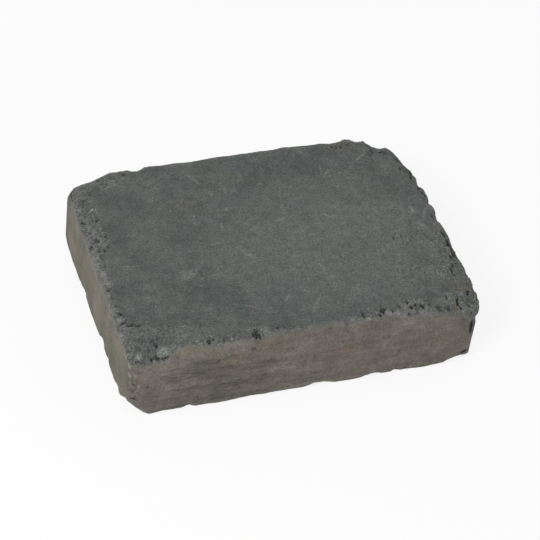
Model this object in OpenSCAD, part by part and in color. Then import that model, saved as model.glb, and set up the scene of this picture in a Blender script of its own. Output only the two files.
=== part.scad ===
// Tumbled concrete paving stone.
// A sharp slab is pressed in a mould, and tumbling then wears its arrises and knocks chips off its edges
// and corners, so the stone is the moulded slab where it meets the envelope that tumbling leaves.
// X runs along the front edge to the right, Y from front to back, Z up. The origin is the middle of the bed.

/* [Moulded slab] */
// Length of the stone along its front edge
stone_length = 280; // [220:1:360]
// Width of the stone from front to back
stone_width = 206; // [160:1:280]
// Thickness from the bed to the wearing face
stone_thickness = 60; // [50:1:100]

/* [Plan corners] */
// How far the front left corner falls short of a sharp one
front_left_rounding = 4; // [1:0.5:14]
// How far the front right corner falls short of a sharp one
front_right_rounding = 6; // [1:0.5:14]
// How far the back right corner falls short of a sharp one
back_right_rounding = 7; // [1:0.5:14]
// How far the back left corner falls short of a sharp one
back_left_rounding = 6; // [1:0.5:14]

/* [Worn arrises] */
// Mean width of the wear on the wearing face
face_wear_width = 5; // [2:0.5:9]
// Mean height of the wear on the sides below the wearing face
face_wear_height = 4; // [2:0.5:9]
// Mean width of the wear on the bed
bed_wear_width = 4; // [2:0.5:9]
// Mean height of the wear on the sides above the bed
bed_wear_height = 4; // [2:0.5:9]
// How far the wear swells and thins along an edge, as a share of its mean
wear_swing_share = 0.45; // [0:0.05:0.8]

/* [Chips] */
// Length of the longest chip along an edge
chip_span = 120; // [60:1:140]
// Width of the widest chip on the wearing face or the bed
chip_width = 36; // [16:1:36]
// Height of the tallest chip on a side
chip_height = 17; // [8:1:22]
// Section of a chip: 1 is a flat break, more is rounder, less is hollow
chip_roundness = 1; // [0.8:0.1:2]

/* [Hidden] */

// Greatest step between stations along an edge, and the steps round a corner and over an arris
station_pitch = 5;
corner_steps = 10;
arris_steps = 5;
// Section of a worn arris: 2 is a quarter of an ellipse
arris_roundness = 2;
// How far the envelope stands clear of the slab's flat faces
envelope_clearance = 1;
// Room left between the widest chip and the core that a corner's stations spread from
core_margin = 4;
corner_reach = chip_width + core_margin;

// Edges in order round the plan, each starting at the corner of the same number
FRONT = 0;
RIGHT = 1;
BACK = 2;
LEFT = 3;
edge_lengths = [stone_length, stone_width, stone_length, stone_width];
edge_starts = [0, stone_length, stone_length + stone_width, 2 * stone_length + stone_width];
edge_normals = [[0, -1], [1, 0], [0, 1], [-1, 0]];
perimeter = 2 * (stone_length + stone_width);
corner_roundings = [front_left_rounding, front_right_rounding, back_right_rounding, back_left_rounding];

// Waves of the wear round the outline: how many, their share of the swing, and their phase in degrees
wear_wave_shares = [[9, 0.3, 40], [17, 0.3, 200], [31, 0.25, 95], [53, 0.15, 310]];

// Chips out of an arris: edge, place along it, then span, width and height as shares of the largest chip's
face_chip_shares = [
    [FRONT, 0.07, 1, 1, 0.14],
    [FRONT, 0.05, 0.3, 0.28, 0.47],
    [FRONT, 0.24, 0.22, 0.25, 0.3],
    [FRONT, 0.36, 0.13, 0.36, 0.35],
    [FRONT, 0.61, 0.12, 0.3, 0.3],
    [FRONT, 0.7, 0.16, 0.33, 0.3],
    [FRONT, 0.79, 0.17, 0.25, 0.24],
    [FRONT, 0.98, 0.5, 0.42, 0.6],
    [RIGHT, 0.11, 0.14, 0.2, 0.4],
    [RIGHT, 0.34, 0.16, 0.16, 0.3],
    [RIGHT, 0.5, 0.16, 0.2, 0.42],
    [RIGHT, 0.59, 0.12, 0.16, 0.38],
    [RIGHT, 0.71, 0.22, 0.26, 0.52],
    [RIGHT, 0.765, 0.11, 0.34, 0.62],
    [RIGHT, 0.95, 0.8, 0.6, 1],
    [BACK, 0.04, 0.36, 0.86, 1],
    [BACK, 0.11, 0.24, 0.3, 0.42],
    [BACK, 0.2, 0.18, 0.22, 0.28],
    [BACK, 0.79, 0.2, 0.2, 0.3],
    [BACK, 0.99, 0.68, 0.5, 0.75],
    [LEFT, 0.27, 0.5, 0.42, 0.3],
    [LEFT, 0.52, 0.33, 0.22, 0.3],
    [LEFT, 0.78, 0.2, 0.2, 0.3],
];
bed_chip_shares = [
    [FRONT, 0.17, 0.1, 0.16, 0.24],
    [FRONT, 0.54, 0.2, 0.18, 0.26],
    [FRONT, 0.7, 0.18, 0.18, 0.28],
    [FRONT, 0.955, 0.32, 0.24, 0.46],
    [RIGHT, 0.3, 0.2, 0.2, 0.3],
    [RIGHT, 0.65, 0.3, 0.25, 0.4],
    [BACK, 0.03, 0.35, 0.3, 0.47],
    [BACK, 0.4, 0.25, 0.2, 0.35],
    [BACK, 0.75, 0.2, 0.22, 0.3],
    [LEFT, 0.02, 0.28, 0.28, 0.45],
    [LEFT, 0.33, 0.22, 0.2, 0.3],
    [LEFT, 0.62, 0.22, 0.22, 0.34],
    [LEFT, 0.98, 0.38, 0.32, 0.85],
];

function power(base, exponent) = base <= 0 ? 0 : pow(base, exponent);
function sum(list) = list * [for (item = list) 1];

// Distance along the outline between two places on it, the shorter way round
function gap_along(walk, place) =
    let (apart = abs(walk - place) % perimeter)
    min(apart, perimeter - apart);

// How much of a chip shows at a place on the outline: 1 at its middle, 0 past its ends
function chip_depth(walk, chip) =
    let (place = edge_starts[chip[0]] + chip[1] * edge_lengths[chip[0]])
    max(0, 1 - pow(gap_along(walk, place) / (chip[2] * chip_span / 2), 2));

// Wear at a place on the outline, as a share of its mean
function wear_swell(walk) =
    let (turns = 360 * walk / perimeter)
    1 + wear_swing_share * sum([for (wave = wear_wave_shares) wave[1] * sin(wave[0] * turns + wave[2])]);

// Section of an arris at a place on the outline: width in from the edge, height along the side, roundness
function arris_at(walk, wear_width, wear_height, chips) =
    let (
        swell = wear_swell(walk),
        depths = [for (chip = chips) chip_depth(walk, chip)],
        chip_widths = [for (i = [0 : len(chips) - 1]) depths[i] * chips[i][3] * chip_width],
        chip_heights = [for (i = [0 : len(chips) - 1]) depths[i] * chips[i][4] * chip_height]
    )
    [
        max(wear_width * swell, max(chip_widths)),
        max(wear_height * swell, max(chip_heights)),
        arris_roundness + (chip_roundness - arris_roundness) * max(depths),
    ];

// Points of an arris from the side, at turn 0, to the face, at turn 90: inset from the side and drop
function arris_inset(arris, turn) = arris[0] * (1 - power(cos(turn), 2 / arris[2]));
function arris_drop(arris, turn) = arris[1] * (1 - power(sin(turn), 2 / arris[2]));

// Section of the envelope at a place on the outline, from the bed up to the wearing face: inset and height
function envelope_section(walk, side_clear) =
    let (
        bed = arris_at(walk, bed_wear_width, bed_wear_height, bed_chip_shares),
        face = arris_at(walk, face_wear_width, face_wear_height, face_chip_shares),
        turn_step = 90 / arris_steps,
        clear = envelope_clearance
    )
    concat(
        [[bed[0] + clear, -clear]],
        [for (i = [arris_steps : -1 : 0]) [arris_inset(bed, i * turn_step), arris_drop(bed, i * turn_step)]],
        [[-side_clear, bed[1] + clear], [-side_clear, stone_thickness - face[1] - clear]],
        [for (i = [0 : arris_steps])
            [arris_inset(face, i * turn_step), stone_thickness - arris_drop(face, i * turn_step)]],
        [[face[0] + clear, stone_thickness + clear]]
    );

// Stations round the outline: a point of the core inside it, the way out from there, how far, the walk along
// the outline, and how far the side stands clear of the slab, which is nothing at the middle of a corner
function corner_point(i) =
    [(i == 1 || i == 2 ? 1 : -1) * stone_length / 2, (i >= 2 ? 1 : -1) * stone_width / 2];
function edge_stations(i) =
    let (
        normal = edge_normals[i],
        along = edge_normals[(i + 1) % 4],
        straight = edge_lengths[i] - 2 * corner_reach,
        steps = ceil(straight / station_pitch)
    )
    [for (k = [0 : steps])
        let (
            walk = corner_reach + straight * k / steps,
            core = corner_point(i) + along * walk - normal * corner_reach
        )
        [core, normal, corner_reach, edge_starts[i] + walk, envelope_clearance]];

// A corner's outline is a superellipse that falls short of the sharp corner by its rounding
function corner_stations(i) =
    let (
        before = edge_normals[(i + 3) % 4],
        after = edge_normals[i],
        core = corner_point(i) - (before + after) * corner_reach,
        squareness = -ln(2) / ln(1 - corner_roundings[i] / (corner_reach * sqrt(2)))
    )
    [for (k = [1 : corner_steps - 1])
        let (
            turn = 90 * k / corner_steps,
            out = before * cos(turn) + after * sin(turn),
            spread = power(cos(turn), squareness) + power(sin(turn), squareness),
            walk = turn <= 45 ? corner_reach * (tan(turn) - 1) : corner_reach * (1 - 1 / tan(turn)),
            clear = envelope_clearance * abs(cos(2 * turn))
        )
        [core, out, corner_reach * pow(spread, -1 / squareness), edge_starts[i] + walk, clear]];
stations = [for (i = [0 : 3]) each concat(corner_stations(i), edge_stations(i))];

// Envelope that tumbling leaves: its section carried round the outline, closed by a fan over each face
module tumbled_envelope() {
    count = len(stations);
    rings = len(envelope_section(0, 0));
    skin = [for (station = stations) for (point = envelope_section(station[3], station[4]))
        let (plan = station[0] + station[1] * (station[2] - point[0]))
        [plan[0], plan[1], point[1]]];
    bed_middle = count * rings;
    face_middle = bed_middle + 1;
    sides = [for (s = [0 : count - 1]) for (r = [0 : rings - 2])
        let (a = s * rings + r, b = ((s + 1) % count) * rings + r)
        each [[a, a + 1, b], [b, a + 1, b + 1]]];
    fans = [for (s = [0 : count - 1])
        let (a = s * rings, b = ((s + 1) % count) * rings)
        each [[a, b, bed_middle], [b + rings - 1, a + rings - 1, face_middle]]];
    polyhedron(
        points = concat(skin, [[0, 0, -envelope_clearance], [0, 0, stone_thickness + envelope_clearance]]),
        faces = concat(sides, fans)
    );
}

// Slab as it leaves the mould
module moulded_slab() {
    translate([-stone_length / 2, -stone_width / 2, 0])
        cube([stone_length, stone_width, stone_thickness]);
}

module paving_stone() {
    color("dimgray")
        intersection() {
            tumbled_envelope();
            moulded_slab();
        }
}

paving_stone();
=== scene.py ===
"""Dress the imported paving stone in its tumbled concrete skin, and show it in a plain studio.

The formulas of the shape are in millimetres and the meshes in metres. X runs along the front edge to the
right, Y from front to back and Z up, with the origin in the middle of the bed.
"""

import logging
from dataclasses import dataclass, field
from enum import Enum, IntEnum
from functools import cached_property

import bpy
import numpy as np
from mathutils import Matrix, Vector

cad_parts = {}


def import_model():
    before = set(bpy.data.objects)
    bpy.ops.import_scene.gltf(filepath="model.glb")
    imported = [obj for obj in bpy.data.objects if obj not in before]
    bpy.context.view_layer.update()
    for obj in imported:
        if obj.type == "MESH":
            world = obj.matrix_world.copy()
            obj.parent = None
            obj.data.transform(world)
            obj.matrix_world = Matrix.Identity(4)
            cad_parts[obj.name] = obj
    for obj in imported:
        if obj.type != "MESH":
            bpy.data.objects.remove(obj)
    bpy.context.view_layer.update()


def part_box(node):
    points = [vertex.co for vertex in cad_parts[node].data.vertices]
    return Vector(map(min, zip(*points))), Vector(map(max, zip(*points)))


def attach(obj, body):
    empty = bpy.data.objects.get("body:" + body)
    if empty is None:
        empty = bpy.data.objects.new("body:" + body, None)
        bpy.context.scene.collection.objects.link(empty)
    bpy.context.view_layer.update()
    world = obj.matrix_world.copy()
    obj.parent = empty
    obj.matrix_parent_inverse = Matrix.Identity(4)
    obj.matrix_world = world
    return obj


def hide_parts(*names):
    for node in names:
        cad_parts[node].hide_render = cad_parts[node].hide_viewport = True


LOG = logging.getLogger("paving_stone")
MM = 0.001
NODE = "paving_stone"
# The origin's place as shares of the stone's box, from its lowest corner
ORIGIN_SHARES = (0.5, 0.5, 0)
# Attribute with each point's place in lengths and thicknesses of the drag marks
DRAG_PLACE = "drag_place"
# Guard against dividing by nothing, and the slack in telling whether a point is on a face
TINY = 1e-9
LEVEL_SLACK = 1e-6
# How sharply a mark with walls ends, beside 1 for one that fades out
WALL_STEEPNESS = 1.4
# Waves of noise that are added up: the wavelength in mm and the height of each
Layers = tuple[tuple[float, float], ...]
Tree = bpy.types.NodeTree
Socket = bpy.types.NodeSocket


class Edge(IntEnum):
    """Edges of the plan in order round it, each starting at the corner of the same number."""

    FRONT = 0
    RIGHT = 1
    BACK = 2
    LEFT = 3


class Trait(Enum):
    """What the skin says of each point to the concrete that covers it, each as a share from 0 to 1."""

    WEARING_FACE = "wearing_face"
    BROKEN = "broken"
    # Painted shade: darker in dents, in open creases of torn rims and along the flake's seam
    HOLLOW_SHADE = "hollow"
    GRAIN = "grain"
    RUST = "rust"
    SCUFF = "scuff"
    DRAG = "drag"
    RUBBED = "rubbed"
    END = "end"
    ARRIS = "arris"
    SMUDGE = "smudge"


class MarkKind(Enum):
    """Kinds of mark in one place, and what the amount of each means."""

    # A dent's depth also darkens its colour, as painted shade in the hole or notch
    DENT = "depth of a hole or notch in mm"
    GRAIN = "paleness of a stone of the aggregate"
    RUST = "strength of a rust stain"
    SCUFF = "strength of a pale scuff"
    CRUMB = "how torn a patch of skin is"
    LUMP = "height of a lump in mm"
    SMUDGE = "strength of a dark smear"
    LOSS = "depth of a worn hollow in mm"

    @property
    def steepness(self) -> float:
        """How sharply a mark ends: holes, lumps and torn patches have walls, and the rest fade out."""
        return WALL_STEEPNESS if self in (MarkKind.DENT, MarkKind.CRUMB, MarkKind.LUMP) else 1.0


# Short names for the tables of wear and marks
FRONT, RIGHT, BACK, LEFT = Edge
DENT, GRAIN, RUST, SCUFF, CRUMB, LUMP, SMUDGE, LOSS = MarkKind


@dataclass(frozen=True)
class Chip:
    """A chip out of an arris: its edge, its place along it, and its size as shares of the largest chip's."""

    edge: Edge
    place: float
    span: float
    width: float
    height: float


@dataclass(frozen=True)
class RoughStretch:
    """A stretch of torn rim: its edge, its place along it, its span and band in mm, and its strength."""

    edge: Edge
    place: float
    span: float
    band: float
    strength: float


@dataclass(frozen=True)
class SkinReach:
    """Reach of the sides' pale skin over the face arris at a place on an edge, in mm in from the outline."""

    edge: Edge
    place: float
    reach: float


@dataclass(frozen=True)
class Mark:
    """One mark: its kind, its middle as shares of the stone's box, its half sizes in mm and its amount.

    It is on the wearing face, and takes in all that shows there, unless its height says otherwise.
    """

    kind: MarkKind
    x: float
    y: float
    half_x: float
    half_y: float
    amount: float
    z: float = 1
    half_z: float = 20


def marked(kind: MarkKind, *rows: tuple[float, ...]) -> tuple[Mark, ...]:
    """Make marks of one kind.

    Args:
        kind: what they are.
        rows: the other fields of each mark, in their order.

    Returns:
        The marks.
    """
    return tuple(Mark(kind, *row) for row in rows)


FACE_CHIPS = (
    Chip(FRONT, 0.07, 1, 1, 0.14),
    Chip(FRONT, 0.05, 0.3, 0.28, 0.47),
    Chip(FRONT, 0.24, 0.22, 0.25, 0.3),
    Chip(FRONT, 0.36, 0.13, 0.36, 0.35),
    Chip(FRONT, 0.61, 0.12, 0.3, 0.3),
    Chip(FRONT, 0.7, 0.16, 0.33, 0.3),
    Chip(FRONT, 0.79, 0.17, 0.25, 0.24),
    Chip(FRONT, 0.98, 0.5, 0.42, 0.6),
    Chip(RIGHT, 0.11, 0.14, 0.2, 0.4),
    Chip(RIGHT, 0.34, 0.16, 0.16, 0.3),
    Chip(RIGHT, 0.5, 0.16, 0.2, 0.42),
    Chip(RIGHT, 0.59, 0.12, 0.16, 0.38),
    Chip(RIGHT, 0.71, 0.22, 0.26, 0.52),
    Chip(RIGHT, 0.765, 0.11, 0.34, 0.62),
    Chip(RIGHT, 0.95, 0.8, 0.6, 1),
    Chip(BACK, 0.04, 0.36, 0.86, 1),
    Chip(BACK, 0.11, 0.24, 0.3, 0.42),
    Chip(BACK, 0.2, 0.18, 0.22, 0.28),
    Chip(BACK, 0.79, 0.2, 0.2, 0.3),
    Chip(BACK, 0.99, 0.68, 0.5, 0.75),
    Chip(LEFT, 0.27, 0.5, 0.42, 0.3),
    Chip(LEFT, 0.52, 0.33, 0.22, 0.3),
    Chip(LEFT, 0.78, 0.2, 0.2, 0.3),
)
BED_CHIPS = (
    Chip(FRONT, 0.17, 0.1, 0.16, 0.24),
    Chip(FRONT, 0.54, 0.2, 0.18, 0.26),
    Chip(FRONT, 0.7, 0.18, 0.18, 0.28),
    Chip(FRONT, 0.955, 0.32, 0.24, 0.46),
    Chip(RIGHT, 0.3, 0.2, 0.2, 0.3),
    Chip(RIGHT, 0.65, 0.3, 0.25, 0.4),
    Chip(BACK, 0.03, 0.35, 0.3, 0.47),
    Chip(BACK, 0.4, 0.25, 0.2, 0.35),
    Chip(BACK, 0.75, 0.2, 0.22, 0.3),
    Chip(LEFT, 0.02, 0.28, 0.28, 0.45),
    Chip(LEFT, 0.33, 0.22, 0.2, 0.3),
    Chip(LEFT, 0.62, 0.22, 0.22, 0.34),
    Chip(LEFT, 0.98, 0.38, 0.32, 0.85),
)
ROUGH_STRETCHES = (
    RoughStretch(FRONT, 0.05, 64, 14, 0.9),
    RoughStretch(FRONT, 0.25, 40, 9, 0.9),
    RoughStretch(FRONT, 0.36, 26, 12, 0.9),
    RoughStretch(FRONT, 0.44, 44, 7, 0.4),
    RoughStretch(FRONT, 0.7, 64, 9, 0.8),
    RoughStretch(FRONT, 0.82, 60, 12, 0.9),
    RoughStretch(FRONT, 0.98, 70, 16, 0.9),
    RoughStretch(RIGHT, 0.12, 70, 12, 0.8),
    RoughStretch(RIGHT, 0.3, 70, 9, 0.8),
    RoughStretch(RIGHT, 0.55, 70, 7, 0.6),
    RoughStretch(RIGHT, 0.85, 90, 7, 0.6),
    RoughStretch(BACK, 0.05, 60, 8, 0.6),
    RoughStretch(BACK, 0.18, 44, 8, 0.6),
    RoughStretch(BACK, 0.5, 120, 4, 0.3),
    RoughStretch(BACK, 0.82, 60, 8, 0.6),
    RoughStretch(BACK, 0.96, 60, 12, 0.7),
    RoughStretch(LEFT, 0.1, 50, 12, 0.7),
    RoughStretch(LEFT, 0.32, 90, 16, 0.9),
    RoughStretch(LEFT, 0.58, 60, 7, 0.7),
    RoughStretch(LEFT, 0.75, 44, 8, 0.8),
    RoughStretch(LEFT, 0.95, 60, 10, 0.7),
)
SKIN_REACHES = (
    SkinReach(FRONT, 0.02, 2.7),
    SkinReach(FRONT, 0.06, 8),
    SkinReach(FRONT, 0.095, 2.5),
    SkinReach(FRONT, 0.11, 9.6),
    SkinReach(FRONT, 0.18, 13),
    SkinReach(FRONT, 0.225, 11.5),
    SkinReach(FRONT, 0.29, 6.4),
    SkinReach(FRONT, 0.37, 7.8),
    SkinReach(FRONT, 0.45, 8.5),
    SkinReach(FRONT, 0.53, 7.4),
    SkinReach(FRONT, 0.62, 8.2),
    SkinReach(FRONT, 0.7, 9.5),
    SkinReach(FRONT, 0.79, 6.4),
    SkinReach(FRONT, 0.87, 3),
    SkinReach(FRONT, 0.94, 2.5),
    SkinReach(FRONT, 0.99, 0.6),
    SkinReach(RIGHT, 0.5, 0.4),
    SkinReach(BACK, 0.5, 0.4),
    SkinReach(LEFT, 0.15, 0.7),
    SkinReach(LEFT, 0.3, 1.3),
    SkinReach(LEFT, 0.4, 0.8),
    SkinReach(LEFT, 0.53, 2.2),
    SkinReach(LEFT, 0.63, 2),
    SkinReach(LEFT, 0.72, 1.3),
    SkinReach(LEFT, 0.95, 0.5),
)
MARKS = (
    # Front left corner: the flake's torn seam, the crevices round two pale stones, and its rusty upright edge
    *marked(
        DENT,
        (0.018, 0.213, 4, 1.9, 1.2), (0.036, 0.193, 4.4, 1.7, 1.2), (0.055, 0.184, 3.8, 1.6, 1.1),
        (0.152, 0.168, 3, 1, 0.5), (0.2, 0.153, 4.5, 1, 0.6), (0.222, 0.128, 1.2, 2.5, 0.6),
        (0.077, 0.104, 2.4, 3, 1.7), (0.087, 0.088, 2.6, 2.4, 1.7), (0.102, 0.112, 2, 1.3, 0.8),
        (0.082, 0.04, 1.8, 3.6, 1.5), (0.066, 0.036, 2.6, 1.8, 1.5), (0.098, 0.03, 3, 1.8, 1.6),
        (0.064, 0.064, 1.6, 2.4, 1), (0.04, 0.079, 1.5, 1.5, 0.9), (0.024, 0.028, 2.6, 1.5, 1.1),
        (0.009, 0.049, 1.5, 2.4, 0.9), (0.014, 0.011, 2.4, 2.4, 1.9, 0.58, 2.4),
        (0.012, 0.014, 2, 2.2, 1.5, 0.46, 1.8), (0.015, 0.012, 2.6, 3, 2.1, 0.33, 2),
        (0.05, 0, 2.2, 3, 1.3, 0.54, 1.6), (0, 0.252, 3, 2, 0.7, 0.52, 1.6),
    ),
    *marked(SCUFF, (0.012, 0.232, 4, 1.3, 0.5)),
    *marked(
        GRAIN,
        (0.099, 0.056, 6, 5.4, 0.5), (0.029, 0.046, 4, 4, 0.55), (0.003, 0.033, 2.6, 3.2, 0.5, 0.88, 4),
        (0.004, 0.027, 2.6, 2.6, 0.4, 0.72, 3), (0.006, 0.02, 2.6, 2.6, 0.2, 0.56, 3),
        (0.016, 0.006, 2.4, 3, 0.35, 0.76, 4), (0.025, 0.002, 1.8, 3, 0.35, 0.55, 5),
        (0.002, 0.15, 3, 6, 0.2, 0.93, 4), (0.002, 0.075, 3, 4, 0.25, 0.9, 4),
    ),
    *marked(CRUMB, (0.015, 0.01, 5, 5, 0.7, 0.6, 22)),
    *marked(
        RUST,
        (0.016, 0.008, 5, 5, 0.65, 0.66, 18), (0.014, 0.01, 5, 5, 0.8, 0.43, 8),
    ),
    *marked(LOSS, (0, 0.12, 6, 26, 1, 0.98, 6)),
    # Front rim and the side below it
    *marked(
        DENT,
        (0.224, 0.057, 1.3, 2.8, 1.3), (0.236, 0.061, 1.5, 1.8, 1), (0.25, 0.063, 1.5, 1.8, 1.1),
        (0.264, 0.047, 1.5, 2.1, 1.2), (0.23, 0.08, 1.5, 1.6, 0.9), (0.257, 0.078, 1.4, 1.6, 0.9),
        (0.293, 0.055, 1.4, 1.8, 1), (0.312, 0.048, 1.4, 1.6, 0.9), (0.275, 0.053, 1.4, 1.8, 0.9),
        (0.282, 0.04, 1.5, 1.6, 0.9), (0.354, 0.064, 1.8, 7, 1.7), (0.346, 0.058, 1.5, 4.6, 1.5),
        (0.362, 0.045, 1.5, 3.2, 1.4), (0.371, 0.093, 1.7, 1.5, 1), (0.416, 0.067, 1.9, 1.7, 1.2),
        (0.437, 0.061, 1.4, 2, 0.8), (0.461, 0.057, 1.4, 2, 0.9), (0.492, 0.006, 1.7, 2.2, 1, 0.97, 1.7),
        (0.603, 0.033, 1.8, 1.6, 0.9), (0.357, 0.166, 1.5, 1.5, 0.7), (0.462, 0.177, 1.5, 1.5, 0.7),
        (0.618, 0.128, 1.7, 1.7, 0.7), (0.243, 0, 2.4, 3, 1.2, 0.78, 2.4), (0.657, 0.06, 1.3, 4.6, 1.7),
        (0.675, 0.019, 2.6, 1.2, 1), (0.716, 0.066, 2.2, 4.4, 2), (0.714, 0.09, 1, 2.4, 1.6),
        (0.704, 0.047, 1.5, 2, 1.6), (0.741, 0.055, 1.5, 2.6, 1.2), (0.792, 0.085, 1.5, 2.6, 1.7),
        (0.796, 0.06, 1.5, 3.2, 1.7), (0.786, 0.032, 2.6, 1.6, 1.2), (0.828, 0.05, 1.5, 2.8, 1.4),
        (0.765, 0.072, 1.5, 3, 1.5), (0.81, 0.068, 1.5, 3, 1.4), (0.85, 0.06, 1.5, 3, 1.4),
        (0.868, 0.04, 2.8, 1.5, 1.4), (0.905, 0.08, 1.5, 3.4, 1.4), (0.915, 0.115, 2.8, 1.5, 1.3),
    ),
    *marked(
        GRAIN,
        (0.382, 0.062, 4.2, 3.6, 0.2), (0.668, 0.032, 2, 2, 0.75), (0.731, 0.05, 2.2, 3.6, 0.3),
        (0.751, 0.037, 3, 2.4, 0.45), (0.776, 0.046, 3, 3, 0.2), (0.816, 0.03, 1.8, 1.8, 0.4),
    ),
    *marked(
        SCUFF,
        (0.5, 0, 1.6, 3, 0.4, 0.45, 16), (0.715, 0, 1.6, 3, 0.25, 0.55, 12),
    ),
    *marked(
        RUST,
        (0.66, 0, 12, 5, 0.4, 0.84, 4), (0.6, 0, 9, 5, 0.3, 0.6, 7), (0.776, 0.046, 3.2, 3.4, 0.45),
    ),
    # Front right corner
    *marked(
        CRUMB,
        (0.81, 0.075, 16, 7, 0.8), (0.92, 0.06, 18, 10, 0.85), (0.9, 0.205, 15, 13, 0.6),
        (0.965, 0.23, 7, 16, 0.8),
    ),
    *marked(
        DENT,
        (0.874, 0.024, 3, 1.5, 1.2), (0.897, 0.021, 3, 1.6, 1.3), (0.932, 0.05, 1.9, 4, 2.2),
        (0.938, 0.03, 2.2, 1.6, 1.5), (0.969, 0.086, 1.8, 3, 2), (0.977, 0.013, 3.6, 3.8, 2.6, 0.6, 8.5),
        (0.968, 0.01, 5, 4, 1.8, 0.16, 2.8), (0.964, 0.229, 1.3, 3.4, 1.3), (0.955, 0.186, 1.3, 3.4, 1.4),
        (0.979, 0.243, 1.3, 3, 1.1),
    ),
    *marked(
        RUST,
        (0.918, 0.026, 4, 2.2, 0.5), (0.961, 0.102, 5.5, 3.4, 1),
    ),
    *marked(GRAIN, (0.948, 0.05, 2.6, 3.2, 0.12)),
    *marked(LUMP, (0.985, 0.05, 6, 7, 0.5, 0.86, 7)),
    *marked(LOSS, (0.99, 0.02, 10, 12, 2.2, 0.7, 6)),
    # Back left corner and the left rim, from back to front
    *marked(
        CRUMB,
        (0.08, 0.935, 26, 12, 0.5), (0.035, 0.8, 12, 22, 0.5), (0.035, 0.62, 10, 18, 0.75),
    ),
    *marked(
        DENT,
        (0.095, 0.961, 2.6, 2.2, 1.7), (0.052, 0.948, 3, 1.8, 1.4), (0.168, 0.966, 3, 2, 1.2),
        (0.011, 0.897, 2.2, 2.2, 1.6, 0.92, 3), (0.012, 0.752, 1.7, 2.6, 1.4),
        (0.046, 0.737, 2.8, 1.6, 1.2), (0.025, 0.637, 2.8, 4, 1.1), (0.034, 0.627, 1.4, 2.2, 1.5),
        (0.005, 0.614, 1.8, 2, 1.5), (0.025, 0.58, 1.7, 2, 1.5), (0.038, 0.575, 2, 1.8, 1.5),
        (0.055, 0.592, 1.7, 1.7, 1.4), (0.054, 0.65, 1.5, 2.6, 1.3), (0.06, 0.68, 1.6, 1.8, 1.2),
        (0.018, 0.69, 1.6, 1.6, 1.1), (0.02, 0.545, 1.7, 1.7, 1.2), (0.03, 0.53, 1.4, 1.6, 1.1),
        (0.03, 0.85, 1.6, 2, 1), (0.055, 0.88, 2, 1.6, 1), (0.024, 0.5, 1.6, 1.8, 1.2),
        (0.009, 0.377, 1.8, 2.2, 1.1), (0.017, 0.296, 2, 2.6, 1.1), (0.021, 0.252, 2, 2.6, 1.3),
    ),
    *marked(LOSS, (0.008, 0.945, 9, 17, 3, 0.86, 9)),
    *marked(
        GRAIN,
        (0.042, 0.793, 1.3, 1.5, 0.6), (0.056, 0.792, 1.2, 1.4, 0.45), (0.008, 0.774, 1.4, 1.5, 0.6),
        (0.028, 0.692, 2.4, 2.2, 0.3), (0.048, 0.688, 1.4, 1.5, 0.5),
    ),
    *marked(
        RUST,
        (0.067, 0.748, 3.5, 4, 0.3), (0.025, 0.637, 4, 5, 0.5), (0, 0.4, 5, 30, 0.2, 0.8, 8),
        (0, 0.12, 5, 16, 0.35, 0.88, 5),
    ),
    *marked(
        SCUFF,
        (0.01, 0.54, 3, 6, 0.3), (0.013, 0.47, 2.2, 9, 0.45), (0.016, 0.405, 1.7, 4, 0.5),
        (0.007, 0.353, 1.4, 2, 0.5),
    ),
    # Back right corner and the right rim
    *marked(
        DENT,
        (0.79, 0.957, 2.4, 1.6, 1.3), (0.802, 0.944, 2, 1.6, 1.1), (0.818, 0.95, 2, 1.5, 1.2),
        (0.84, 0.955, 2.4, 1.6, 1.3), (0.985, 0.885, 3.6, 8, 1.4, 0.8, 4),
        (0.971, 0.803, 2.2, 4.5, 1.8, 0.955, 5), (0.993, 0.765, 2.2, 4, 1.5, 0.89, 5),
        (0.989, 0.63, 1.4, 5.5, 1.4, 0.99), (0.957, 0.778, 1.2, 4, 1.5), (0.932, 0.89, 4, 1.8, 2),
        (0.92, 0.925, 5, 2.2, 0.6, 0.95), (0.979, 0.733, 1.6, 3.4, 2), (0.981, 0.664, 1.4, 3, 1.5),
        (0.989, 0.345, 3, 7.5, 2.2), (0.985, 0.4, 1.2, 6, 1.7), (0.983, 0.5, 1.2, 4, 1.4),
        (0.991, 0.295, 2.8, 6.5, 2.2), (0.974, 0.275, 1.3, 5.5, 1.7), (0.957, 0.21, 1.4, 4, 1.6),
    ),
    *marked(RUST, (0.8, 0.95, 14, 4, 0.25)),
    *marked(
        CRUMB,
        (0.97, 0.86, 9, 14, 0.6), (0.955, 0.31, 10, 28, 0.7), (0.9, 0.42, 18, 24, 0.35),
    ),
    # Scuffs, small holes, a stone and a spot of rust on the wearing face
    *marked(
        SCUFF,
        (0.387, 0.785, 1.6, 5.5, 0.4), (0.428, 0.796, 1.6, 3.5, 0.4), (0.491, 0.857, 1.5, 4.5, 0.35),
        (0.538, 0.807, 2.2, 1.8, 0.5), (0.814, 0.488, 2.6, 1.6, 0.45), (0.62, 0.26, 1.6, 6, 0.3),
        (0.654, 0.363, 4.5, 1.4, 0.3), (0.755, 0.605, 6, 1.6, 0.25), (0.414, 0.698, 2.4, 2.6, 0.55),
        (0.395, 0.666, 6, 2, 0.3), (0.931, 0.55, 1.5, 7, 0.9), (0.572, 0.663, 5, 1.6, 0.45),
        (0.62, 0.5, 5, 1.8, 0.3), (0.426, 0.444, 2.2, 2.6, 0.25),
    ),
    *marked(
        DENT,
        (0.793, 0.618, 1.9, 1.9, 1), (0.84, 0.418, 2, 2, 1.5), (0.864, 0.416, 2.2, 1.9, 1.4),
        (0.886, 0.39, 1.8, 2, 1.1), (0.9, 0.3, 2, 2, 1), (0.855, 0.26, 1.9, 2, 0.95),
        (0.92, 0.44, 1.8, 2.2, 1),
    ),
    *marked(GRAIN, (0.848, 0.394, 2, 1.4, 0.2)),
    *marked(RUST, (0.8, 0.798, 2, 2, 0.4)),
    # Dark smears on the front and the left end
    *marked(
        SMUDGE,
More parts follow.
